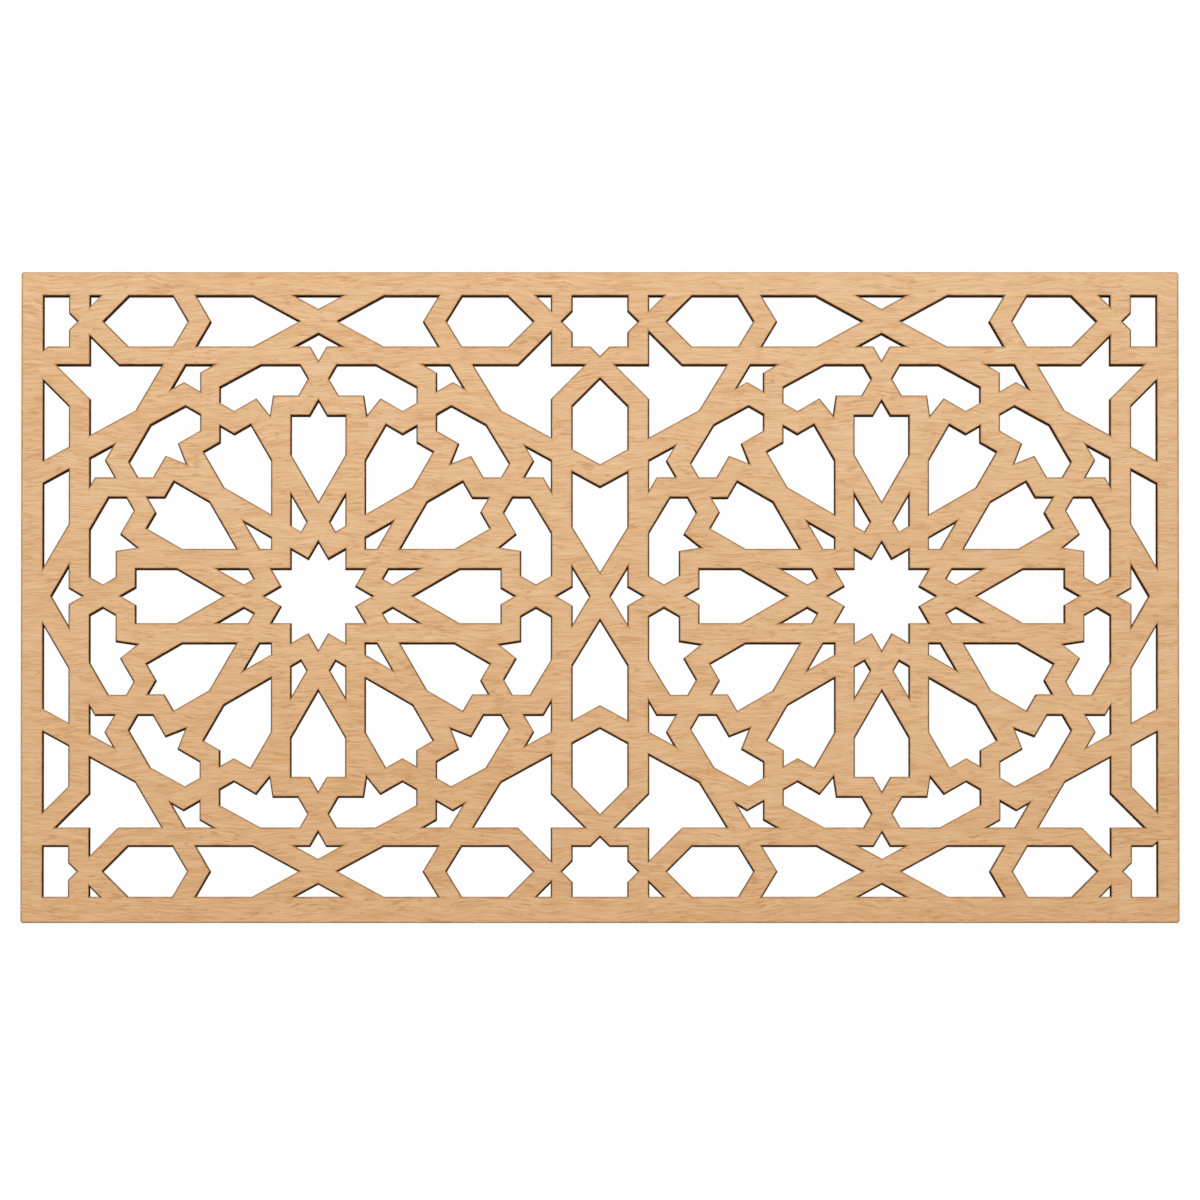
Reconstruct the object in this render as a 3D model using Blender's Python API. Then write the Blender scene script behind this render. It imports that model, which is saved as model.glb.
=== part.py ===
"""Pierced screen board: a flat panel of wood cut through with a lattice of straps.

The board stands upright with its face towards -Y and its back on Y = 0. The origin is
on the back of the top rail, halfway along it, where the board is fixed.

The lattice is two twelve-pointed rosettes side by side. Each strap is a straight band
given by the direction of its normal and the distance of its middle from the rosette's
centre. Every opening is drawn as the list of strap edges that bound it, so that each
corner is the place where one edge meets the next. u runs sideways from a rosette's
centre and v runs up.
"""

import math

import bmesh
import bpy

# Board, in metres
BOARD_THICKNESS = 0.006
SIDE_RAIL = 0.0115
TOP_RAIL = 0.0123
BOTTOM_RAIL = 0.0136
CORNER_EASE = 0.0010

# Straps, in metres
STRAP = 0.0104
LEVEL_STRAP = 0.0096
UPRIGHT_STRAP = 0.0110

# Half the distance between the two rosettes: the module of the whole pattern
MODULE = 0.146

# How far the row's mirror line stands nearer to the rosette than the column's
ROW_INSET = 0.0034
# How far the outer uprights stand nearer to their rosette than the inner ones
OUTER_INSET = 0.0023
# How far the ring's two level sides stand nearer to the centre than its others
LEVEL_RING_INSET = 0.0009
# Where the side rails trim the pattern, short of the outer mirror line
SIDE_TRIM = 0.0012
# Where the top and bottom rails trim it, past the mirror line of the row
ROW_OVERRUN = 0.0132

# Narrow points that the outer openings send in between two petals
SPUR_MOUTH = 0.0047
SPUR_DEPTH = 0.0116

# Depth of the eight-pointed star's lower tip below its centre
STAR_FOOT = 0.0180

# How far past the column's foot the middle of the steep strap runs
FOOT_PAST = 0.0007
# How much wider the steep strap is at its foot, all of that on its far side
FOOT_SPREAD = 0.0008
# How far the heads of the steep straps stand away from the board's middle
HEAD_SHIFT = 0.0007

# How much further the side spur of a corner opening reaches on each of its edges
CORNER_SPUR_EXTRA = 0.0009
# How much narrower the upper ties are than the other straps, on their near side
UPPER_TIE_TRIM = 0.0010
# How much further out the shoulders of the inner lower darts lie
INNER_SHOULDER_EXTRA = 0.0008

# Small saw marks left in two corners of the corner openings: (side, rise)
NICK_WIDTH = 0.0021
NICK_DEPTH = 0.0019
NICKED = ((1, -1), (-1, 1))

# Proportions of the pattern, as shares of its module: how far the level and the
# upright straps stand short of the row's and the column's mirror lines
ROW_GAP_SHARE = 0.1223
SIDE_GAP_SHARE = 0.138
# How far the middle of the straps round the heart lies from the rosette's centre
CORE_SHARE = 0.132
# How far the diagonal straps pass from the eight-pointed star's centre
DIAGONAL_ROW_SHARE = 0.1317
DIAGONAL_SIDE_SHARE = 0.1077
# Where the steep strap starts on the mirror line of the row
STEEP_HEAD_SHARE = 0.418
# The ring's distance from the centre, as a share of the frame's
RING_SHARE = 0.7963
# How much of the outer uprights' inset the outer tie beside them takes up
TIE_INSET_SHARE = 0.45
# The shallow strap leans this many degrees past the even step
LEAN_ANGLE = 1.4

POINTS = 12
STEP = 360 / POINTS
HALF_STEP = STEP / 2

NEAR = -1
FAR = 1

# The row's mirror line and the middles of the frame's straps, from the centre
ROW = MODULE - ROW_INSET
FRAME_TOP = ROW - ROW_GAP_SHARE * MODULE
FRAME_SIDE = MODULE - SIDE_GAP_SHARE * MODULE


def edge(angle, distance):
    """A straight edge: the unit normal's direction in degrees and its distance."""
    turn = math.radians(angle)
    return (math.cos(turn), math.sin(turn), distance)


def edge_through(first, second, shift=0.0):
    """The edge through two points, moved outward from the rosette's centre."""
    along_u = second[0] - first[0]
    along_v = second[1] - first[1]
    length = math.hypot(along_u, along_v)
    normal_u = along_v / length
    normal_v = -along_u / length
    distance = normal_u * first[0] + normal_v * first[1]
    if distance < 0:
        return (-normal_u, -normal_v, shift - distance)
    return (normal_u, normal_v, distance + shift)


def meet(first, second):
    """The point where two edges cross."""
    spread = first[0] * second[1] - first[1] * second[0]
    u = (first[2] * second[1] - first[1] * second[2]) / spread
    v = (first[0] * second[2] - first[2] * second[0]) / spread
    return (u, v)


def chain(edges):
    """The corners along an open run of edges."""
    return [meet(one, after) for one, after in zip(edges, edges[1:])]


def loop(edges):
    """The corners of a closed run of edges."""
    return chain(edges + edges[:1])


def over_row(line):
    """An edge mirrored in the row's level mirror line."""
    return (line[0], -line[1], line[2] - 2 * ROW * line[1])


def doubled(half, along, middle=0.0):
    """A run of corners with its mirror image, flipped in u or in v.

    Both ends of the run lie on the mirror, which stands at `middle`.
    """
    inner = half[1:-1][::-1]
    if along == "u":
        return half + [(2 * middle - u, v) for u, v in inner]
    return half + [(u, 2 * middle - v) for u, v in inner]


def turned(corners, angle):
    """The corners turned about the rosette's centre, by degrees."""
    cos = math.cos(math.radians(angle))
    sin = math.sin(math.radians(angle))
    return [(u * cos - v * sin, u * sin + v * cos) for u, v in corners]


def strap_edge(angle, middle, side, width=STRAP):
    """The near or the far edge of a strap whose middle line is `middle` away."""
    return edge(angle, middle + side * width / 2)


def core_edge(angle, side):
    """One of the twelve straps that cross round the rosette's heart."""
    return strap_edge(angle, CORE_SHARE * MODULE, side)


def ring_at(angle):
    """How far one side of the twelve-sided ring lies from the centre."""
    even = RING_SHARE * (FRAME_SIDE + FRAME_TOP) / 2
    if angle % 180 == 90:
        return even - LEVEL_RING_INSET
    return even


def ring_edge(angle, side):
    """One side of the twelve-sided ring at the outer ends of the petals."""
    return strap_edge(angle, ring_at(angle), side)


def frame_at(axis, column=MODULE):
    """How far the frame's strap lies from the centre along one of its axes."""
    if axis == 0:
        return FRAME_SIDE - (MODULE - column)
    if axis == STEP:
        return FRAME_SIDE
    return FRAME_TOP


def tie_edge(axis, lean, side, column=MODULE):
    """The pair of straps that cross on an axis, halfway between ring and frame.

    `lean` is 1 for the strap of the pair whose normal is turned on from the axis and
    -1 for the one whose normal is turned back.
    """
    crossing = (ring_at(axis) + frame_at(axis, column)) / 2
    turn = 2 * STEP
    middle = crossing * math.cos(math.radians(turn))
    if axis == STEP and lean == -1:
        middle -= TIE_INSET_SHARE * (MODULE - column)
    return strap_edge(axis + lean * turn, middle, side)


def trimmed(line, trim):
    """An edge moved outward from the rosette's centre."""
    return (line[0], line[1], line[2] + trim)


def level_edge(side):
    """The level strap across the whole board."""
    return strap_edge(90, frame_at(90), side, LEVEL_STRAP)


def upright_edge(column, side):
    """The upright strap from the top rail to the bottom rail.

    It is a little wider than the rest, and all of that on its far side.
    """
    wider = (UPRIGHT_STRAP - STRAP) / 2
    return strap_edge(0, frame_at(0, column) + wider, side, UPRIGHT_STRAP)


def shallow_edge(side):
    """The strap that falls gently from the row's middle line to the column's."""
    return strap_edge(2 * STEP + LEAN_ANGLE, frame_at(60), side)


def steep_edge(column, side):
    """The strap that falls steeply from the row's line to the column's foot."""
    outwards = 1 if column < MODULE else -1
    head = (STEEP_HEAD_SHARE * MODULE + outwards * HEAD_SHIFT, ROW)
    foot = column + FOOT_PAST
    if side == FAR:
        foot += FOOT_SPREAD
    return edge_through(head, (foot, 0.0), side * STRAP / 2)


def diagonal_edge(column, middle, side, extra=0.0):
    """A diagonal strap past the eight-pointed star, `middle` from the star's centre.

    `middle` is positive on the row's side of the star and negative on the column's.
    `extra` moves the edge further past the star.
    """
    rise = edge(-45, 0.0)
    through_star = rise[0] * column + rise[1] * ROW
    return (rise[0], rise[1], through_star - middle - side * STRAP / 2 - extra)


def spur(angle):
    """Both edges of a spur on the axis at `angle`, the lower side first."""
    outside = ring_at(0) + STRAP / 2
    corner = outside / math.cos(math.radians(HALF_STEP))
    slope = outside * math.tan(math.radians(HALF_STEP)) - SPUR_MOUTH
    tip = turned([(corner - SPUR_DEPTH, 0.0)], angle)[0]
    low = turned([(outside, slope)], angle - HALF_STEP)[0]
    high = turned([(outside, -slope)], angle + HALF_STEP)[0]
    return edge_through(low, tip), edge_through(tip, high)


def heart():
    """The central star, its ring of kites and the petals round them."""
    star = []
    kites = []
    petals = []
    two_on = 2 * STEP
    three_on = 3 * STEP
    for number in range(POINTS):
        angle = number * STEP
        star.append(meet(core_edge(angle - two_on, NEAR), core_edge(angle + two_on, NEAR)))
        star.append(meet(core_edge(angle + two_on, NEAR), core_edge(angle - STEP, NEAR)))
        kites.append(
            loop(
                [
                    core_edge(angle - STEP, FAR),
                    core_edge(angle + two_on, FAR),
                    core_edge(angle - two_on, NEAR),
                    core_edge(angle + three_on, NEAR),
                ]
            )
        )
        half = chain(
            [
                edge(angle + 90, 0.0),
                core_edge(angle - two_on, FAR),
                core_edge(angle + three_on, NEAR),
                ring_edge(angle, NEAR),
                tie_edge(angle, 1, NEAR),
                edge(angle + 90, 0.0),
            ]
        )
        lying = turned(half, -angle)
        petals.append(turned(doubled(lying, "v"), angle))
    return [star] + kites + petals


def between_ring_and_frame(column):
    """The openings of one quarter that lie wholly between its axes."""
    level = level_edge(NEAR)
    upright = upright_edge(column, NEAR)
    shallow = shallow_edge(NEAR)
    steep = steep_edge(column, NEAR)
    spur_15 = spur(HALF_STEP)
    spur_45 = spur(HALF_STEP + STEP)
    spur_75 = spur(HALF_STEP + 2 * STEP)
    upper_bean = [
        tie_edge(90, -1, FAR),
        ring_edge(90, FAR),
        spur_75[1],
        spur_75[0],
        ring_edge(60, FAR),
        tie_edge(60, 1, FAR),
        tie_edge(60, -1, NEAR),
        shallow,
        level,
        trimmed(tie_edge(90, 1, NEAR), UPPER_TIE_TRIM),
    ]
    middle_bean = [
        tie_edge(60, -1, FAR),
        ring_edge(60, FAR),
        spur_45[1],
        spur_45[0],
        ring_edge(30, FAR),
        tie_edge(30, 1, FAR),
        tie_edge(30, -1, NEAR, column),
        steep,
        shallow,
        tie_edge(60, 1, NEAR),
    ]
    lower_bean = [
        tie_edge(30, -1, FAR, column),
        ring_edge(30, FAR),
        spur_15[1],
        spur_15[0],
        ring_edge(0, FAR),
        tie_edge(0, 1, FAR, column),
        tie_edge(0, -1, NEAR, column),
        upright,
        steep,
        tie_edge(30, 1, NEAR),
    ]
    shoulder = FRAME_SIDE + STRAP / 2
    upper_dart = [
        tie_edge(60, 1, FAR),
        tie_edge(60, -1, FAR),
        edge(60, shoulder),
        level,
        steep,
        edge(60, shoulder),
    ]
    low_shoulder = edge(30, shoulder if column < MODULE else shoulder + INNER_SHOULDER_EXTRA)
    lower_dart = [
        tie_edge(30, 1, FAR),
        tie_edge(30, -1, FAR, column),
        low_shoulder,
        shallow,
        upright,
        low_shoulder,
    ]
    return [loop(run) for run in (upper_bean, middle_bean, lower_bean, upper_dart, lower_dart)]


def beyond_frame(column):
    """The openings of one quarter outside its frame and short of the column's line."""
    top = edge(90, ROW + ROW_OVERRUN)
    by_row_near = diagonal_edge(MODULE, DIAGONAL_ROW_SHARE * MODULE, NEAR)
    by_row_far = diagonal_edge(MODULE, DIAGONAL_ROW_SHARE * MODULE, FAR)
    by_side_near = diagonal_edge(column, -DIAGONAL_SIDE_SHARE * MODULE, FAR)
    corner_star = [
        steep_edge(column, FAR),
        shallow_edge(FAR),
        upright_edge(column, NEAR),
        by_side_near,
        level_edge(NEAR),
        upright_edge(column, NEAR),
        by_row_near,
        level_edge(NEAR),
    ]
    row_hexagon = [
        by_row_far,
        over_row(by_row_far),
        top,
        over_row(steep_edge(column, FAR)),
        steep_edge(column, FAR),
        level_edge(FAR),
    ]
    row_arrow = [
        shallow_edge(FAR),
        level_edge(FAR),
        steep_edge(column, NEAR),
        over_row(steep_edge(column, NEAR)),
        top,
        over_row(shallow_edge(FAR)),
    ]
    small_triangle = [
        over_row(by_row_near),
        upright_edge(column, NEAR),
        top,
    ]
    return [loop(run) for run in (corner_star, row_hexagon, row_arrow, small_triangle)]


def on_upright_axis():
    """The openings that straddle the rosette's upright axis, above the frame."""
    axis = edge(0, 0.0)
    top = edge(90, ROW + ROW_OVERRUN)
    dart = chain([axis, tie_edge(90, 1, FAR), level_edge(FAR), shallow_edge(NEAR), axis])
    tip, corner = chain([axis, over_row(shallow_edge(NEAR)), top])
    return [doubled(dart, "u"), [tip, corner, (-corner[0], corner[1])]]


def on_level_axis(column):
    """The dart that straddles the rosette's level axis, beside the upright strap."""
    axis = edge(90, 0.0)
    tie = tie_edge(0, -1, FAR, column)
    dart = chain([axis, tie, upright_edge(column, FAR), steep_edge(column, NEAR), axis])
    return doubled(dart, "v")


def by_column(column, cut):
    """The runs of corners that start and end on the upright line u = cut."""
    line = edge(0, cut)
    top = edge(90, ROW + ROW_OVERRUN)
    upright = upright_edge(column, FAR)
    extra = CORNER_SPUR_EXTRA if column < MODULE else 0.0
    by_row_near = diagonal_edge(MODULE, DIAGONAL_ROW_SHARE * MODULE, NEAR, extra)
    by_side_far = diagonal_edge(column, -DIAGONAL_SIDE_SHARE * MODULE, NEAR)
    hexagon = chain([line, by_side_far, upright, shallow_edge(FAR), line])
    arrow = chain([line, shallow_edge(NEAR), upright, steep_edge(column, FAR), line])
    star_side = chain(
        [
            top,
            upright,
            by_row_near,
            over_row(by_row_near),
            upright,
            level_edge(FAR),
        ]
    )
    return hexagon, arrow, star_side


def middle_openings():
    """The openings on the board's middle line, as half runs doubled across it."""
    hexagon, arrow, star_side = by_column(MODULE, MODULE)
    tip = MODULE + ROW - STAR_FOOT
    foot = edge(45, tip * math.cos(math.radians(45)))
    half_star = star_side + [meet(level_edge(FAR), foot), meet(foot, edge(0, MODULE))]
    star = half_star + [(2 * MODULE - u, v) for u, v in half_star[:-1][::-1]]
    return [doubled(hexagon, "u", MODULE), doubled(arrow, "u", MODULE), star]


def side_openings(column, cut, nicked):
    """The openings that a side rail trims."""
    hexagon, arrow, star_side = by_column(column, cut)
    top = ROW + ROW_OVERRUN
    foot = star_side[-1][1]
    if nicked:
        closing = [(cut - NICK_WIDTH, foot), (cut, foot - NICK_DEPTH), (cut, top)]
    else:
        closing = [(cut, foot), (cut, top)]
    return [hexagon, arrow, star_side + closing]


def pattern():
    """Every opening of the board as a loop of (x, height above the rosettes' centres)."""
    outer_column = MODULE - OUTER_INSET
    cut = outer_column - SIDE_TRIM
    loops = []

    def place(shapes, side, reach, rise):
        for corners in shapes:
            loops.append([(side * (MODULE + reach * u), rise * v) for u, v in corners])

    for side in (-1, 1):
        place(heart(), side, 1, 1)
        for column, reach in ((MODULE, -1), (outer_column, 1)):
            place([on_level_axis(column)], side, reach, 1)
            for rise in (-1, 1):
                place(between_ring_and_frame(column), side, reach, rise)
                place(beyond_frame(column), side, reach, rise)
        for rise in (-1, 1):
            place(on_upright_axis(), side, 1, rise)
            place(side_openings(outer_column, cut, (side, rise) in NICKED), side, 1, rise)
    for rise in (-1, 1):
        place(middle_openings(), 1, -1, rise)
    return loops


def ordered(corners):
    """The corners counter-clockwise."""
    area = 0.0
    for (x, z), (next_x, next_z) in zip(corners, corners[1:] + corners[:1]):
        area += x * next_z - next_x * z
    if area < 0:
        return corners[::-1]
    return corners


def prisms(name, loops, front, back):
    """A mesh of upright prisms, each a loop in the XZ plane run from front to back."""
    mesh = bpy.data.meshes.new(name)
    body = bmesh.new()
    for corners in loops:
        ring = [body.verts.new((x, front, z)) for x, z in ordered(corners)]
        face = body.faces.new(ring)
        run = bmesh.ops.extrude_face_region(body, geom=[face], use_keep_orig=True)
        moved = [item for item in run["geom"] if isinstance(item, bmesh.types.BMVert)]
        bmesh.ops.translate(body, verts=moved, vec=(0, back - front, 0))
    bmesh.ops.recalc_face_normals(body, faces=body.faces)
    body.to_mesh(mesh)
    body.free()
    return mesh


def wood():
    """Pale beech with a dull sanded face."""
    material = bpy.data.materials.new("pale_beech")
    material.use_nodes = True
    shader = material.node_tree.nodes["Principled BSDF"]
    shader.inputs["Base Color"].default_value = (0.72, 0.45, 0.235, 1)
    shader.inputs["Roughness"].default_value = 0.6
    shader.inputs["Metallic"].default_value = 0.0
    return material


def board_outline(half_width, bottom, top):
    """The board's rectangle with its corners eased by a small flat."""
    ease = CORNER_EASE
    return [
        (-half_width + ease, bottom),
        (half_width - ease, bottom),
        (half_width, bottom + ease),
        (half_width, top - ease),
        (half_width - ease, top),
        (-half_width + ease, top),
        (-half_width, top - ease),
        (-half_width, bottom + ease),
    ]


def main():
    for item in list(bpy.data.objects):
        bpy.data.objects.remove(item, do_unlink=True)

    lattice_top = ROW + ROW_OVERRUN
    lattice_side = 2 * MODULE - OUTER_INSET - SIDE_TRIM
    # The origin's height above the rosettes' centres: the middle of the top rail
    hang = lattice_top + TOP_RAIL / 2
    outline = board_outline(
        lattice_side + SIDE_RAIL, -lattice_top - BOTTOM_RAIL, lattice_top + TOP_RAIL
    )

    front = -BOARD_THICKNESS
    slab = prisms("screen_panel", [[(x, z - hang) for x, z in outline]], front, 0.0)
    panel = bpy.data.objects.new("screen_panel", slab)
    bpy.context.scene.collection.objects.link(panel)
    panel.data.materials.append(wood())

    past = BOARD_THICKNESS / 2
    loops = [[(x, z - hang) for x, z in corners] for corners in pattern()]
    cutter = bpy.data.objects.new("openings", prisms("openings", loops, front - past, past))
    bpy.context.scene.collection.objects.link(cutter)
    cutter.hide_render = True
    cutter.display_type = "WIRE"

    cut = panel.modifiers.new("pierce", "BOOLEAN")
    cut.operation = "DIFFERENCE"
    cut.solver = "EXACT"
    cut.object = cutter


if __name__ == "__main__":
    main()
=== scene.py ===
"""Pierced lattice screen of pale beech: the board's finish, its studio and its camera."""

import math

import bmesh
import bpy
from bpy.props import FloatProperty, FloatVectorProperty, PointerProperty
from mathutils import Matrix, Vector


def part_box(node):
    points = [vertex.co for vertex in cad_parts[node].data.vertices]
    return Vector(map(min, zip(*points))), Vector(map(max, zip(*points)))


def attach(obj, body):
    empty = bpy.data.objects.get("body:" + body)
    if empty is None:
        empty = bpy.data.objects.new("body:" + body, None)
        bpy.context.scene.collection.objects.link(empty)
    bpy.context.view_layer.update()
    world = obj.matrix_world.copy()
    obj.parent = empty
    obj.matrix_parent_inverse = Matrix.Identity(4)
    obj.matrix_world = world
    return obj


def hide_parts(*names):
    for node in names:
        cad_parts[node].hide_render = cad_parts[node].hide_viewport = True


bl_info = {
    "name": "Pierced Lattice Screen",
    "version": (1, 0, 0),
    "blender": (4, 5, 0),
    "location": "View3D > Sidebar > Lattice",
    "description": "Finishes a pierced beech board with eased edges, grain and scorched walls",
    "category": "Object",
}

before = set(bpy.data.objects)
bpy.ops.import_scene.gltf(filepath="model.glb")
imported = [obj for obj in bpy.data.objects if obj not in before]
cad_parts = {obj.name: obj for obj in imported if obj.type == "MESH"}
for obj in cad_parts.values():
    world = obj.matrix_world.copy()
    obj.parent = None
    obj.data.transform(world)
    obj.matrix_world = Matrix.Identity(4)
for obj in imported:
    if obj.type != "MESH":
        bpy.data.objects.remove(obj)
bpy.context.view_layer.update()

BOARD_NODE = "screen_panel"
BOARD_LOW, BOARD_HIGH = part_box(BOARD_NODE)

# Places of the finishes on the board
FACE = 0
WALL = 1
ARRIS = 2
# Painted light: the ledge is the burnt arris, paler where it faces up inside, darker where it faces
# down on the outline
PAINTED_LIGHT_LEDGE = 3
RIM = 4

# Faces whose middle lies this near to the board's outline belong to its outer sides
OUTLINE_BAND = 0.0008
# Corners this near to the plane of the front or the back lie in it
IN_PLANE = 0.000001
# How squarely a face looks along Y: more than the first on the flats, less than the
# second on the steep half of an arris, less than the third on a cut wall
FLAT_FACING = 0.99
STEEP_FACING = 0.7
WALL_FACING = 0.2
# How far a normal has to rise or fall for its face to look up or down
SLOPE = 0.3

# Lengths along X, Y and Z of the marks in the wood, in the burn and on the floor
SLOW_WAVES = (0.110, 0.05, 0.060)
QUICK_WAVES = (0.030, 0.02, 0.018)
BANDS = (0.60, 0.03, 0.011)
HAIRS = (0.012, 0.004, 0.00058)
MOTTLE = (0.20, 0.05, 0.08)
FLECK_CROWDS = (0.035, 0.03, 0.012)
THREAD_CROWDS = (0.020, 0.03, 0.006)
BURN_MARKS = (0.0005, 0.020, 0.0005)
BURN_PATCHES = (0.009, 0.006, 0.009)
BROWNING = (0.006, 0.004, 0.003)
FINE_GRAIN = (0.002, 0.001, 0.0006)
FLOOR_PATCHES = (0.4, 0.4, 0.4)

# Lengths along Y of the grain's lines and threads, and of its flecks
GRAIN_DEPTH = 0.010
FLECK_DEPTH = 0.004

# Height of the quick waves, as a share of the slow ones
RIPPLE_SHARE = 0.80

# How much of the burn's unevenness is fine marks, the rest being patches
MARK_SHARE = 0.45

# How much each kind of mark moves the wood's tone
BAND_WEIGHT = 0.27
LINE_WEIGHT = 0.36
HAIR_WEIGHT = 1.22
MOTTLE_WEIGHT = 0.34

# How much the flecks keep to their crowds
CROWD_WEIGHT = 0.35

# How much the lines and the flecks move the wood's roughness
LINE_ROUGHNESS = 0.30
FLECK_ROUGHNESS = 0.06

# Depth of the pores, of the burn's ridges and of the arris's grain, as bump
PORE_DEPTH = 0.00006
RIDGE_DEPTH = 0.0001
ARRIS_DEPTH = 0.00004

# Floor, softbox and camera: sizes and places in metres, the sensor's in millimetres
FLOOR_RADIUS = 11.5
FLOOR_SIDES = 96
SOFTBOX_WIDTH = 1.6
SOFTBOX_HEIGHT = 1.0
SOFTBOX_PLACE = (-0.12, -1.40, 0.95)
SOFTBOX_TINT = (1.0, 0.985, 0.96)
SENSOR_WIDTH = 36.0
CLIP_NEAR = 0.05
CLIP_FAR = 50.0


def colour_property(name, description, default):
    """A colour that the user can change."""
    return FloatVectorProperty(
        name=name,
        description=description,
        subtype="COLOR",
        size=3,
        min=0.0,
        max=1.0,
        default=default,
    )


class BoardShape(bpy.types.PropertyGroup):
    """Sizes of the work done on the board's edges."""

    arris_width: FloatProperty(
        name="Arris width",
        description="Width of the easing along every sawn edge",
        unit="LENGTH",
        subtype="DISTANCE",
        default=0.00044,
        min=0.00005,
        max=0.001,
        precision=5,
    )
    rim_width: FloatProperty(
        name="Rim width",
        description="Width of the lightly browned rim on the flat face beside each arris",
        unit="LENGTH",
        subtype="DISTANCE",
        default=0.00040,
        min=0.00005,
        max=0.001,
        precision=5,
    )
    kerf_taper: FloatProperty(
        name="Kerf taper",
        description="How much each cut wall leans in from the front face to the back",
        unit="LENGTH",
        subtype="DISTANCE",
        default=0.00025,
        min=0.0,
        max=0.0005,
        precision=5,
    )
    cut_lean: FloatProperty(
        name="Cut lean",
        description="How far all cuts run down from the front face to the back, out of square",
        unit="LENGTH",
        subtype="DISTANCE",
        default=0.00035,
        min=0.0,
        max=0.001,
        precision=5,
    )
    merge_distance: FloatProperty(
        name="Merge distance",
        description="Corners nearer to each other than this become one",
        unit="LENGTH",
        subtype="DISTANCE",
        default=0.00002,
        min=0.000001,
        max=0.0001,
        precision=6,
    )
    flat_angle: FloatProperty(
        name="Flat angle",
        description="Faces that meet at less than this angle become one",
        unit="ROTATION",
        subtype="ANGLE",
        default=math.radians(0.5),
        min=0.0,
        max=math.radians(5),
    )


class BeechLook(bpy.types.PropertyGroup):
    """Colours and grain of the sanded beech faces."""

    pale: colour_property("Pale wood", "Lightest wood between the grain lines", (0.737, 0.510, 0.308))
    middle: colour_property("Middle wood", "The wood's main tone", (0.675, 0.425, 0.227))
    deep: colour_property("Deep wood", "Darker tone in the grain lines", (0.585, 0.320, 0.132))
    fleck: colour_property("Fleck", "The short dark ray flecks", (0.484, 0.221, 0.072))
    # Painted shade: this tint darkens the wood towards the bottom rail, standing in for light falling
    # off downwards
    lower: colour_property("Lower tint", "Tint towards the bottom rail", (0.915, 0.865, 0.797))
    grain_length: FloatProperty(
        name="Grain length",
        description="Length of the fine grain lines",
        unit="LENGTH",
        subtype="DISTANCE",
        default=0.020,
        min=0.002,
        max=0.2,
    )
    grain_height: FloatProperty(
        name="Grain height",
        description="Height of one fine grain line",
        unit="LENGTH",
        subtype="DISTANCE",
        default=0.0014,
        min=0.0002,
        max=0.01,
        precision=4,
    )
    fleck_length: FloatProperty(
        name="Fleck length",
        description="Length of the ray flecks",
        unit="LENGTH",
        subtype="DISTANCE",
        default=0.0052,
        min=0.001,
        max=0.03,
        precision=4,
    )
    fleck_height: FloatProperty(
        name="Fleck height",
        description="Height of the ray flecks",
        unit="LENGTH",
        subtype="DISTANCE",
        default=0.00085,
        min=0.0002,
        max=0.005,
        precision=5,
    )
    fleck_amount: FloatProperty(
        name="Fleck amount",
        description="How strongly the flecks show",
        subtype="FACTOR",
        default=0.60,
        min=0.0,
        max=1.0,
    )
    thread_length: FloatProperty(
        name="Thread length",
        description="Length of the thin dark threads in the grain",
        unit="LENGTH",
        subtype="DISTANCE",
        default=0.030,
        min=0.002,
        max=0.2,
    )
    thread_gap: FloatProperty(
        name="Thread gap",
        description="Height from one dark thread to the next",
        unit="LENGTH",
        subtype="DISTANCE",
        default=0.0026,
        min=0.0002,
        max=0.02,
        precision=4,
    )
    thread_amount: FloatProperty(
        name="Thread amount",
        description="How strongly the threads show",
        subtype="FACTOR",
        default=0.46,
        min=0.0,
        max=1.0,
    )
    wave_height: FloatProperty(
        name="Wave height",
        description="How far the grain lines wander up and down",
        unit="LENGTH",
        subtype="DISTANCE",
        default=0.010,
        min=0.0,
        max=0.05,
    )
    roughness: FloatProperty(
        name="Roughness",
        description="Mean roughness of the sanded wood",
        subtype="FACTOR",
        default=0.58,
        min=0.1,
        max=1.0,
    )


class ScorchLook(bpy.types.PropertyGroup):
    """Colours of the burnt walls and of the browned arris; the ledge's colours add painted light to
    the burn.
    """

    char: colour_property("Char", "Blackest burn on the walls", (0.026, 0.0095, 0.0035))
    burn: colour_property("Burn", "Browner burn on the walls", (0.095, 0.037, 0.014))
    arris: colour_property("Burnt arris", "Thin dark line round each opening", (0.058, 0.020, 0.006))
    arris_pale: colour_property("Brown arris", "Where that line is least burnt", (0.165, 0.062, 0.019))
    # Painted light: the ledge's colours are the burnt arris made paler where it faces up to the light
    painted_light_ledge: colour_property("Ledge", "The same line where it faces up", (0.270, 0.128, 0.050))
    painted_light_ledge_pale: colour_property("Pale ledge", "Where the ledge is least burnt", (0.470, 0.252, 0.110))
    rim: colour_property("Rim", "Lightly browned wood beside the arris", (0.420, 0.230, 0.098))
    rim_pale: colour_property("Pale rim", "Where the rim is least browned", (0.570, 0.345, 0.172))


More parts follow.
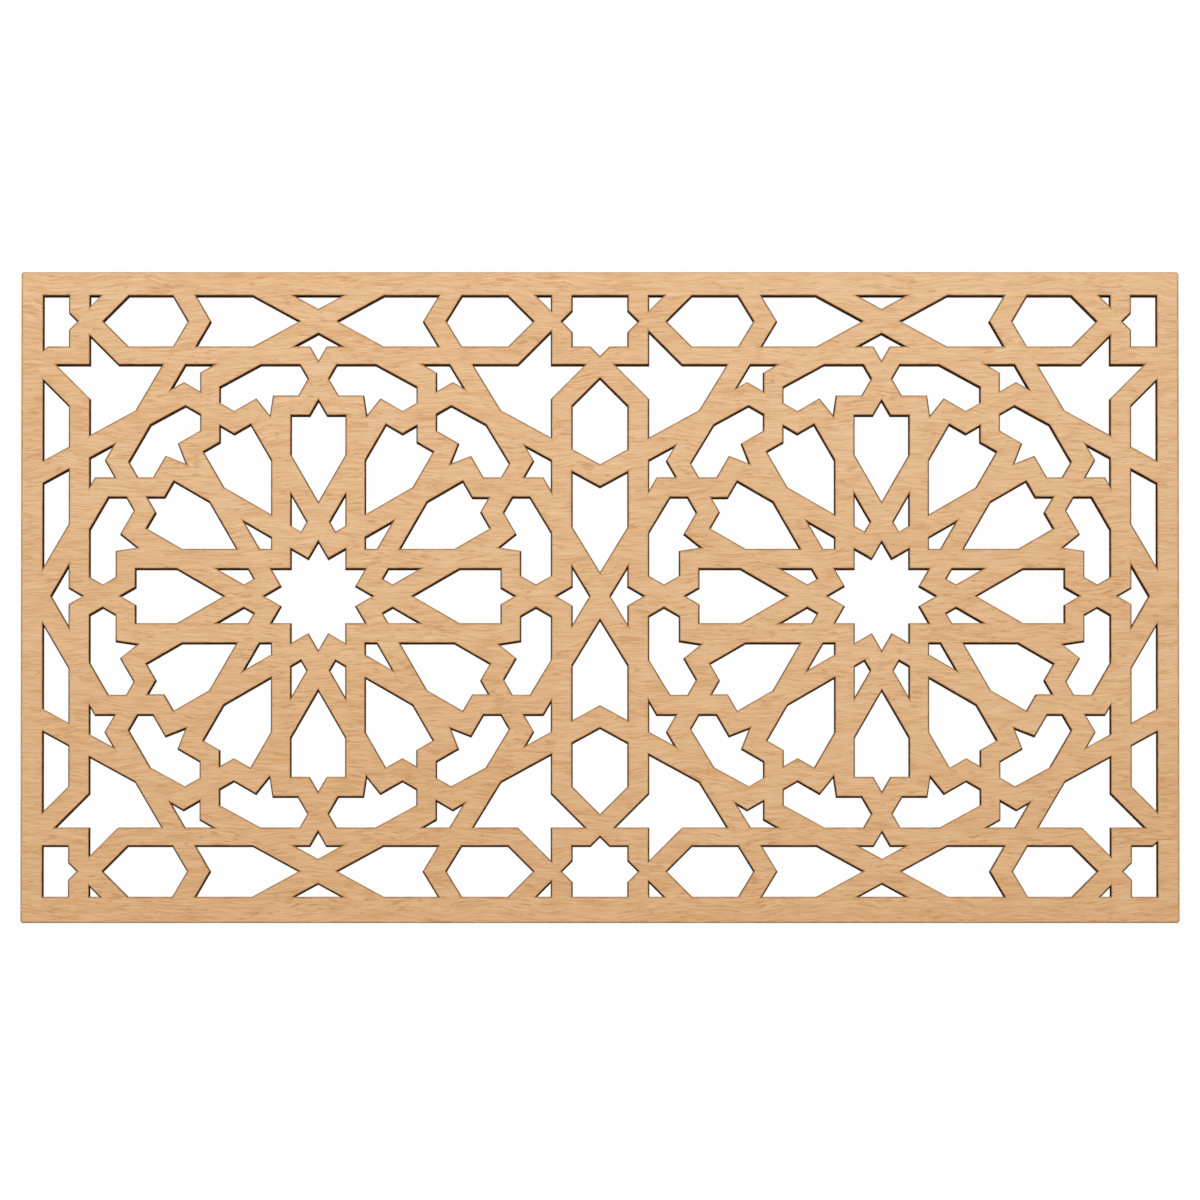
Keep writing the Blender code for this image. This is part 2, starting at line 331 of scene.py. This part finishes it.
class StudioSet(bpy.types.PropertyGroup):
    """Camera, lights and floor."""

    lens: FloatProperty(
        name="Lens",
        description="Focal length on a 36 mm wide sensor",
        unit="CAMERA",
        default=232.0,
        min=20.0,
        max=800.0,
    )
    seen_width: FloatProperty(
        name="Seen width",
        description="Width of the picture at the board's face",
        unit="LENGTH",
        subtype="DISTANCE",
        default=0.6217,
        min=0.1,
        max=5.0,
        precision=4,
    )
    rise: FloatProperty(
        name="Lens rise",
        description="How far the picture is raised above the lens, as a share of its width",
        subtype="FACTOR",
        default=0.12,
        min=0.0,
        max=0.3,
    )
    look_up: FloatProperty(
        name="Look up",
        description="How far the camera, which stands below the board, is turned upwards",
        unit="ROTATION",
        subtype="ANGLE",
        default=math.radians(1.5),
        min=0.0,
        max=math.radians(45),
    )
    below_middle: FloatProperty(
        name="Below middle",
        description="How far the picture's middle lies below the board's",
        unit="LENGTH",
        subtype="DISTANCE",
        default=0.00145,
        min=-0.1,
        max=0.1,
        precision=4,
    )
    dome: FloatProperty(
        name="Dome light",
        description="Strength of the even light from all round",
        default=0.83,
        min=0.0,
        max=5.0,
    )
    backdrop: FloatProperty(
        name="Backdrop",
        description="Brightness of the white backdrop",
        default=0.985,
        min=0.0,
        max=5.0,
    )
    key_power: FloatProperty(
        name="Softbox",
        description="Power of the large softbox in front of the board and above it",
        subtype="POWER",
        unit="POWER",
        default=13.6,
        min=0.0,
        max=500.0,
    )
    floor_drop: FloatProperty(
        name="Floor drop",
        description="How far the floor lies below the board, which hangs",
        unit="LENGTH",
        subtype="DISTANCE",
        default=0.57,
        min=0.05,
        max=2.0,
    )


def put(tree, kind, values=None, **settings):
    """Add a node, set its options and fill its sockets by name, number or link."""
    node = tree.nodes.new(kind)
    for option, value in settings.items():
        setattr(node, option, value)
    for socket, value in (values or {}).items():
        target = node.inputs[socket]
        if isinstance(value, bpy.types.NodeSocket):
            tree.links.new(value, target)
        else:
            target.default_value = value
    return node


def maths(tree, operation, first, second=0.5):
    """One sum on two values."""
    return put(tree, "ShaderNodeMath", {0: first, 1: second}, operation=operation).outputs[0]


def swing(tree, value, weight):
    """How far a mark strays from its middle, times its weight."""
    return maths(tree, "MULTIPLY", maths(tree, "SUBTRACT", value, 0.5), weight)


def ramp(tree, value, stops):
    """A soft ramp of (place, grey or colour) stops."""
    node = put(tree, "ShaderNodeValToRGB", {"Fac": value})
    points = node.color_ramp.elements
    while len(points) < len(stops):
        points.new(0.5)
    for point, (place, tone) in zip(points, stops):
        point.position = place
        shade = (tone, tone, tone) if isinstance(tone, (int, float)) else tuple(tone)
        point.color = (*shade, 1.0)
    return node.outputs["Color"]


def blend_colours(tree, share, under, over, mode="MIX"):
    """One colour laid over another."""
    node = put(tree, "ShaderNodeMix", data_type="RGBA", blend_type=mode)
    for socket, value in zip(("Factor", "A", "B"), (share, under, over)):
        place = [s for s in node.inputs if s.name == socket and s.enabled][0]
        if isinstance(value, bpy.types.NodeSocket):
            tree.links.new(value, place)
        elif socket == "Factor":
            place.default_value = value
        else:
            place.default_value = (*value, 1.0)
    return [s for s in node.outputs if s.enabled][0]


def cloud(tree, vector, size, detail=2.0, roughness=0.5, offset=(0.0, 0.0, 0.0)):
    """Noise whose features are `size` metres long along X, Y and Z."""
    scale = tuple(1.0 / length for length in size)
    place = put(tree, "ShaderNodeMapping", {"Vector": vector, "Location": offset, "Scale": scale})
    node = put(
        tree,
        "ShaderNodeTexNoise",
        {"Vector": place.outputs[0], "Scale": 1.0, "Detail": detail, "Roughness": roughness},
    )
    return node.outputs[0]


def spread(tree, value, before, after):
    """A value carried from one range, given by its two ends, to another."""
    ends = {0: value, 1: before[0], 2: before[1], 3: after[0], 4: after[1]}
    return put(tree, "ShaderNodeMapRange", ends).outputs[0]


def roughen(tree, shader, height, strength, depth):
    """Give the surface a fine relief, `depth` metres deep."""
    sockets = {"Height": height, "Strength": strength, "Distance": depth}
    bump = put(tree, "ShaderNodeBump", sockets)
    tree.links.new(bump.outputs[0], shader.inputs["Normal"])


def new_finish(name):
    """An empty material with its shader, and the object's coordinates."""
    finish = bpy.data.materials.new(name)
    finish.use_nodes = True
    tree = finish.node_tree
    shader = tree.nodes["Principled BSDF"]
    place = put(tree, "ShaderNodeTexCoord").outputs["Object"]
    return finish, tree, shader, place


def waved(tree, place, look):
    """The object's coordinates with the height bent, so that grain lines wander."""
    along, across, up = put(tree, "ShaderNodeSeparateXYZ", {0: place}).outputs
    bend = swing(tree, cloud(tree, place, SLOW_WAVES, 1.0), look.wave_height)
    ripple = swing(tree, cloud(tree, place, QUICK_WAVES, 1.0), look.wave_height * RIPPLE_SHARE)
    height = maths(tree, "ADD", up, maths(tree, "ADD", bend, ripple))
    return put(tree, "ShaderNodeCombineXYZ", {0: along, 1: across, 2: height}).outputs[0]


def beech_face(look):
    """Sanded beech: level grain lines, ray flecks, slow drift of tone, dull sheen, and painted shade
    darker towards the bottom.
    """
    finish, tree, shader, place = new_finish("sanded_beech")
    grain_place = waved(tree, place, look)

    line_size = (look.grain_length, GRAIN_DEPTH, look.grain_height)
    bands = cloud(tree, grain_place, BANDS, 3.0, 0.55)
    lines = cloud(tree, grain_place, line_size, 2.0, 0.5, (3.1, 0.7, 1.9))
    hair = cloud(tree, grain_place, HAIRS, 1.0, 0.5, (7.3, 2.2, 5.1))
    mottle = cloud(tree, place, MOTTLE, 2.0, 0.5, (1.7, 4.4, 8.2))

    tone = swing(tree, bands, BAND_WEIGHT)
    for marks, weight in ((lines, LINE_WEIGHT), (hair, HAIR_WEIGHT), (mottle, MOTTLE_WEIGHT)):
        tone = maths(tree, "ADD", tone, swing(tree, marks, weight))
    tone = maths(tree, "ADD", tone, 0.5)
    wood = ramp(tree, tone, ((0.12, look.deep), (0.50, look.middle), (0.88, look.pale)))

    fleck_size = (look.fleck_length, FLECK_DEPTH, look.fleck_height)
    dashes = cloud(tree, grain_place, fleck_size, 1.0, 0.4, (11.0, 3.0, 6.0))
    crowds = cloud(tree, place, FLECK_CROWDS, 1.0, 0.5, (2.0, 9.0, 4.0))
    crowded = maths(tree, "ADD", dashes, swing(tree, crowds, CROWD_WEIGHT))
    flecks = ramp(tree, crowded, ((0.60, 0.0), (0.76, 1.0)))

    thread_size = (look.thread_length, GRAIN_DEPTH, look.thread_gap)
    fibres = cloud(tree, grain_place, thread_size, 1.0, 0.5, (4.4, 8.1, 2.6))
    near = maths(tree, "ABSOLUTE", maths(tree, "SUBTRACT", fibres, 0.5))
    thread = ramp(tree, near, ((0.0, 1.0), (0.05, 0.0)))
    patches = cloud(tree, place, THREAD_CROWDS, 1.0, 0.5, (6.0, 1.5, 9.5))
    some = ramp(tree, patches, ((0.44, 0.0), (0.60, 1.0)))
    threads = maths(tree, "MULTIPLY", maths(tree, "MULTIPLY", thread, some), look.thread_amount)
    shown = maths(tree, "MAXIMUM", maths(tree, "MULTIPLY", flecks, look.fleck_amount), threads)
    wood = blend_colours(tree, shown, wood, look.fleck)

    # Painted shade: the wood is multiplied by a tint that grows darker towards the bottom rail, as
    # light falling off downwards
    height = put(tree, "ShaderNodeSeparateXYZ", {0: place}).outputs[2]
    down = spread(tree, height, (BOARD_HIGH.z, BOARD_LOW.z), (0.0, 1.0))
    painted_shade_tint = blend_colours(tree, down, (1.0, 1.0, 1.0), look.lower)
    wood = blend_colours(tree, 1.0, wood, painted_shade_tint, "MULTIPLY")
    tree.links.new(wood, shader.inputs["Base Color"])

    rubbed = maths(tree, "MULTIPLY", flecks, FLECK_ROUGHNESS)
    dull = maths(tree, "ADD", swing(tree, lines, LINE_ROUGHNESS), rubbed)
    tree.links.new(maths(tree, "ADD", dull, look.roughness), shader.inputs["Roughness"])
    shader.inputs["Specular IOR Level"].default_value = 0.30
    relief = maths(tree, "SUBTRACT", maths(tree, "ADD", lines, hair), flecks)
    roughen(tree, shader, relief, 0.25, PORE_DEPTH)
    return finish


def scorched_wall(look):
    """The burnt cut: near black to dark brown, with fine marks running through the board."""
    finish, tree, shader, place = new_finish("scorched_wall")
    marks = cloud(tree, place, BURN_MARKS, 2.0, 0.6)
    patches = cloud(tree, place, BURN_PATCHES, 2.0, 0.5, (5.0, 1.0, 3.0))
    fine = maths(tree, "MULTIPLY", marks, MARK_SHARE)
    broad = maths(tree, "MULTIPLY", patches, 1.0 - MARK_SHARE)
    burn = maths(tree, "ADD", fine, broad)
    depth = put(tree, "ShaderNodeSeparateXYZ", {0: place}).outputs[1]
    middle = (BOARD_LOW.y + BOARD_HIGH.y) / 2
    half = (BOARD_HIGH.y - BOARD_LOW.y) / 2
    off = maths(tree, "ABSOLUTE", maths(tree, "SUBTRACT", depth, middle))
    browner = maths(tree, "ADD", burn, spread(tree, off, (0.0, half), (0.10, -0.14)))
    wood = ramp(tree, browner, ((0.34, look.char), (0.74, look.burn)))
    tree.links.new(wood, shader.inputs["Base Color"])
    tree.links.new(ramp(tree, burn, ((0.3, 0.92), (0.7, 0.74))), shader.inputs["Roughness"])
    shader.inputs["Specular IOR Level"].default_value = 0.0
    roughen(tree, shader, marks, 0.5, RIDGE_DEPTH)
    return finish


def browned_arris(name, dark, pale):
    """The thin line where face and cut meet, browned unevenly by the heat; as the ledge it also
    carries painted light.
    """
    finish, tree, shader, place = new_finish(name)
    uneven = cloud(tree, place, BROWNING, 2.0, 0.6)
    tree.links.new(ramp(tree, uneven, ((0.34, dark), (0.70, pale))), shader.inputs["Base Color"])
    fine = cloud(tree, place, FINE_GRAIN, 1.0)
    tree.links.new(ramp(tree, fine, ((0.3, 0.62), (0.7, 0.80))), shader.inputs["Roughness"])
    shader.inputs["Specular IOR Level"].default_value = 0.0
    roughen(tree, shader, fine, 0.3, ARRIS_DEPTH)
    return finish


def take(context, item):
    """Select this object alone and make it the active one."""
    bpy.ops.object.select_all(action="DESELECT")
    item.select_set(True)
    context.view_layer.objects.active = item


def flattened(item, shape):
    """Merge the loose corners and dissolve the edges that cross flat faces."""
    bpy.ops.object.mode_set(mode="EDIT")
    bpy.ops.mesh.select_mode(type="VERT")
    bpy.ops.mesh.select_all(action="SELECT")
    bpy.ops.mesh.remove_doubles(threshold=shape.merge_distance)
    bpy.ops.mesh.dissolve_limited(angle_limit=shape.flat_angle)
    bpy.ops.object.mode_set(mode="OBJECT")


def leaned(item, shape):
    """Let every opening close in a little towards the back, and run down a little."""
    bpy.ops.object.mode_set(mode="EDIT")
    mesh = bmesh.from_edit_mesh(item.data)
    moves = []
    for corner in mesh.verts:
        if abs(corner.co.y - BOARD_HIGH.y) > shape.merge_distance:
            continue
        walls = [face for face in corner.link_faces if abs(face.normal.y) < WALL_FACING]
        gaps = [outline_gap(face.calc_center_median()) for face in walls]
        if len(walls) != 2 or min(gaps) < OUTLINE_BAND:
            continue
        one, other = (face.normal for face in walls)
        inwards = (one + other) / (1.0 + one.dot(other)) * shape.kerf_taper
        moves.append((corner, Vector((inwards.x, 0.0, inwards.z - shape.cut_lean))))
    for corner, move in moves:
        corner.co += move
    bmesh.update_edit_mesh(item.data)
    bpy.ops.object.mode_set(mode="OBJECT")


def outline_gap(place):
    """How far a place lies inside the nearest of the board's four outer sides."""
    return min(
        place.x - BOARD_LOW.x,
        BOARD_HIGH.x - place.x,
        place.z - BOARD_LOW.z,
        BOARD_HIGH.z - place.z,
    )


def eased(item, shape):
    """Ease every edge where a face of the board meets a cut wall."""
    bpy.ops.object.mode_set(mode="EDIT")
    bpy.ops.mesh.select_mode(type="EDGE")
    bpy.ops.mesh.select_all(action="DESELECT")
    mesh = bmesh.from_edit_mesh(item.data)
    sharp = math.radians(45)
    for line in mesh.edges:
        level = abs(line.verts[0].co.y - line.verts[1].co.y) < shape.merge_distance
        if level and line.calc_face_angle(0.0) > sharp:
            line.select_set(True)
    bmesh.update_edit_mesh(item.data)
    bpy.ops.mesh.bevel(
        offset=shape.arris_width,
        offset_type="OFFSET",
        segments=2,
        profile=0.5,
        affect="EDGES",
        clamp_overlap=False,
        loop_slide=False,
    )
    bpy.ops.object.mode_set(mode="OBJECT")


def refaced(item, shape):
    """Lay the front and the back anew inside the eased edges, each with its browned rim."""
    bpy.ops.object.mode_set(mode="EDIT")
    for level in (BOARD_LOW.y, BOARD_HIGH.y):
        bpy.ops.mesh.select_mode(type="FACE")
        bpy.ops.mesh.select_all(action="DESELECT")
        mesh = bmesh.from_edit_mesh(item.data)
        for face in mesh.faces:
            if all(abs(corner.co.y - level) < IN_PLANE for corner in face.verts):
                face.select_set(True)
        bmesh.update_edit_mesh(item.data)
        laid_anew(item)
        mesh = bmesh.from_edit_mesh(item.data)
        for face in mesh.faces:
            if face.select:
                face.material_index = RIM
        bmesh.update_edit_mesh(item.data)
        bpy.ops.mesh.select_mode(type="FACE")
        bpy.ops.mesh.inset(thickness=shape.rim_width, depth=0.0, use_even_offset=True)
        laid_anew(item)
        mesh = bmesh.from_edit_mesh(item.data)
        for face in mesh.faces:
            if face.select:
                face.material_index = FACE
        bmesh.update_edit_mesh(item.data)
    bpy.ops.mesh.select_all(action="SELECT")
    bpy.ops.mesh.normals_make_consistent(inside=False)
    bpy.ops.object.mode_set(mode="OBJECT")


def laid_anew(item):
    """Take the selected flat faces away and fill the hole that they leave in one go."""
    bpy.ops.mesh.delete(type="FACE")
    bpy.ops.mesh.select_mode(type="EDGE")
    bpy.ops.mesh.select_all(action="DESELECT")
    mesh = bmesh.from_edit_mesh(item.data)
    for line in mesh.edges:
        if len(line.link_faces) == 1:
            line.select_set(True)
    bmesh.update_edit_mesh(item.data)
    bpy.ops.mesh.fill(use_beauty=True)


def share_out(item):
    """Give the cut walls and the eased edges their own finish; the outline is hardly burnt. Where an
    arris faces up or down, its finish is painted light.
    """
    for face in item.data.polygons:
        facing = abs(face.normal.y)
        rising = face.normal.z > SLOPE
        outer = outline_gap(face.center) < OUTLINE_BAND
        if facing > FLAT_FACING:
            # Painted highlight: the rim along the top of the outline keeps the bare wood colour, as if
            # lit from above
            if outer and BOARD_HIGH.z - face.center.z < OUTLINE_BAND:
                face.material_index = FACE
        elif facing < WALL_FACING or (facing < STEEP_FACING and not rising):
            face.material_index = WALL
        elif outer:
            # Painted shade: on the outline the arris that faces down takes the darker ledge colours,
            # not the rim's
            face.material_index = PAINTED_LIGHT_LEDGE if face.normal.z < -SLOPE else RIM
        # Painted light: inside, the arris that faces up takes the paler ledge colours, not the burnt
        # arris's
        elif rising:
            face.material_index = PAINTED_LIGHT_LEDGE
        else:
            face.material_index = ARRIS


class LATTICE_OT_board(bpy.types.Operator):
    """Ease the pierced board's edges and give it grain, scorched walls and a browned arris"""

    bl_idname = "lattice.board"
    bl_label = "Pierced board"

    def execute(self, context):
        scene = context.scene
        shape = scene.lattice_shape
        scorch = scene.lattice_scorch
        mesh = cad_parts[BOARD_NODE].data.copy()
        mesh.name = "lattice_board"
        mesh.materials.clear()
        for finish in (
            beech_face(scene.lattice_beech),
            scorched_wall(scorch),
            browned_arris("burnt_arris", scorch.arris, scorch.arris_pale),
            browned_arris("browned_painted_light_ledge", scorch.painted_light_ledge, scorch.painted_light_ledge_pale),
            browned_arris("browned_rim", scorch.rim, scorch.rim_pale),
        ):
            mesh.materials.append(finish)
        board = bpy.data.objects.new("lattice_board", mesh)
        scene.collection.objects.link(board)
        take(context, board)
        flattened(board, shape)
        leaned(board, shape)
        eased(board, shape)
        refaced(board, shape)
        share_out(board)
        bpy.ops.object.shade_flat()
        if not board.data.polygons:
            raise RuntimeError("the board has no faces left")
        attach(board, "root")
        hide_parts(BOARD_NODE)
        return {"FINISHED"}


def pale_floor():
    """Matt off-white paint."""
    finish, tree, shader, place = new_finish("pale_floor")
    faint = cloud(tree, place, FLOOR_PATCHES, 2.0)
    tree.links.new(
        ramp(tree, faint, ((0.3, (0.92, 0.92, 0.915)), (0.7, (0.94, 0.94, 0.935)))),
        shader.inputs["Base Color"],
    )
    shader.inputs["Roughness"].default_value = 0.85
    return finish


def light_the_room(scene, studio):
    """An even white dome, brighter where the camera looks straight at it."""
    world = bpy.data.worlds.new("studio_dome")
    scene.world = world
    world.use_nodes = True
    tree = world.node_tree
    tree.nodes.clear()
    white = (1.0, 1.0, 1.0, 1.0)
    dome = put(tree, "ShaderNodeBackground", {"Color": white, "Strength": studio.dome})
    behind = put(tree, "ShaderNodeBackground", {"Color": white, "Strength": studio.backdrop})
    seen = put(tree, "ShaderNodeLightPath").outputs["Is Camera Ray"]
    both = put(tree, "ShaderNodeMixShader", {0: seen, 1: dome.outputs[0], 2: behind.outputs[0]})
    put(tree, "ShaderNodeOutputWorld", {"Surface": both.outputs[0]})


def lay_floor(context, studio):
    """A wide pale disc under the hanging board."""
    bpy.ops.object.select_all(action="DESELECT")
    bpy.ops.mesh.primitive_circle_add(
        vertices=FLOOR_SIDES,
        radius=FLOOR_RADIUS,
        fill_type="NGON",
        location=(0.0, 0.0, BOARD_LOW.z - studio.floor_drop),
    )
    floor = context.active_object
    floor.name = "floor"
    floor.data.materials.append(pale_floor())


def hang_softbox(scene, studio, middle):
    """The large softbox in front of the board and above it, turned to its middle."""
    lamp = bpy.data.lights.new("softbox", "AREA")
    lamp.shape = "RECTANGLE"
    lamp.size = SOFTBOX_WIDTH
    lamp.size_y = SOFTBOX_HEIGHT
    lamp.energy = studio.key_power
    lamp.color = SOFTBOX_TINT
    softbox = bpy.data.objects.new("softbox", lamp)
    scene.collection.objects.link(softbox)
    softbox.location = SOFTBOX_PLACE
    softbox.rotation_euler = (middle - Vector(SOFTBOX_PLACE)).to_track_quat("-Z", "Y").to_euler()


def stand_camera(scene, studio, middle):
    """A long lens just below the board, turned up a little, its picture shifted up."""
    lens = bpy.data.cameras.new("camera")
    lens.sensor_fit = "HORIZONTAL"
    lens.sensor_width = SENSOR_WIDTH
    lens.lens = studio.lens
    lens.shift_y = studio.rise
    lens.clip_start = CLIP_NEAR
    lens.clip_end = CLIP_FAR
    camera = bpy.data.objects.new("camera", lens)
    scene.collection.objects.link(camera)
    away = studio.seen_width * studio.lens / SENSOR_WIDTH
    centre = Vector((middle.x, BOARD_LOW.y, middle.z - studio.below_middle))
    forwards = Vector((0.0, math.cos(studio.look_up), math.sin(studio.look_up)))
    upwards = Vector((0.0, -math.sin(studio.look_up), math.cos(studio.look_up)))
    camera.location = centre - forwards * away - upwards * studio.rise * studio.seen_width
    camera.rotation_euler = (math.radians(90) + studio.look_up, 0.0, 0.0)
    scene.camera = camera


class LATTICE_OT_studio(bpy.types.Operator):
    """Set the pale floor, the white backdrop, the soft light and the camera"""

    bl_idname = "lattice.studio"
    bl_label = "Studio"

    def execute(self, context):
        scene = context.scene
        studio = scene.lattice_studio
        middle = (BOARD_LOW + BOARD_HIGH) / 2
        lay_floor(context, studio)
        light_the_room(scene, studio)
        hang_softbox(scene, studio, middle)
        stand_camera(scene, studio, middle)
        scene.view_settings.view_transform = "Standard"
        return {"FINISHED"}


class LATTICE_PT_panel(bpy.types.Panel):
    """Sizes, colours and steps of the lattice screen"""

    bl_label = "Lattice screen"
    bl_idname = "LATTICE_PT_panel"
    bl_space_type = "VIEW_3D"
    bl_region_type = "UI"
    bl_category = "Lattice"

    def draw(self, context):
        layout = self.layout
        for title, group, step in (
            ("Edges", "lattice_shape", None),
            ("Beech", "lattice_beech", None),
            ("Scorch", "lattice_scorch", LATTICE_OT_board.bl_idname),
            ("Studio", "lattice_studio", LATTICE_OT_studio.bl_idname),
        ):
            box = layout.box()
            box.label(text=title)
            settings = getattr(context.scene, group)
            for key in settings.__annotations__:
                box.prop(settings, key)
            if step:
                box.operator(step)


GROUPS = (
    ("lattice_shape", BoardShape),
    ("lattice_beech", BeechLook),
    ("lattice_scorch", ScorchLook),
    ("lattice_studio", StudioSet),
)
TOOLS = (LATTICE_OT_board, LATTICE_OT_studio, LATTICE_PT_panel)


def register():
    for key, group in GROUPS:
        bpy.utils.register_class(group)
        setattr(bpy.types.Scene, key, PointerProperty(type=group))
    for tool in TOOLS:
        bpy.utils.register_class(tool)


def unregister():
    for tool in reversed(TOOLS):
        bpy.utils.unregister_class(tool)
    for key, group in reversed(GROUPS):
        delattr(bpy.types.Scene, key)
        bpy.utils.unregister_class(group)


def main():
    register()
    bpy.ops.lattice.board()
    bpy.ops.lattice.studio()


if __name__ == "__main__":
    main()
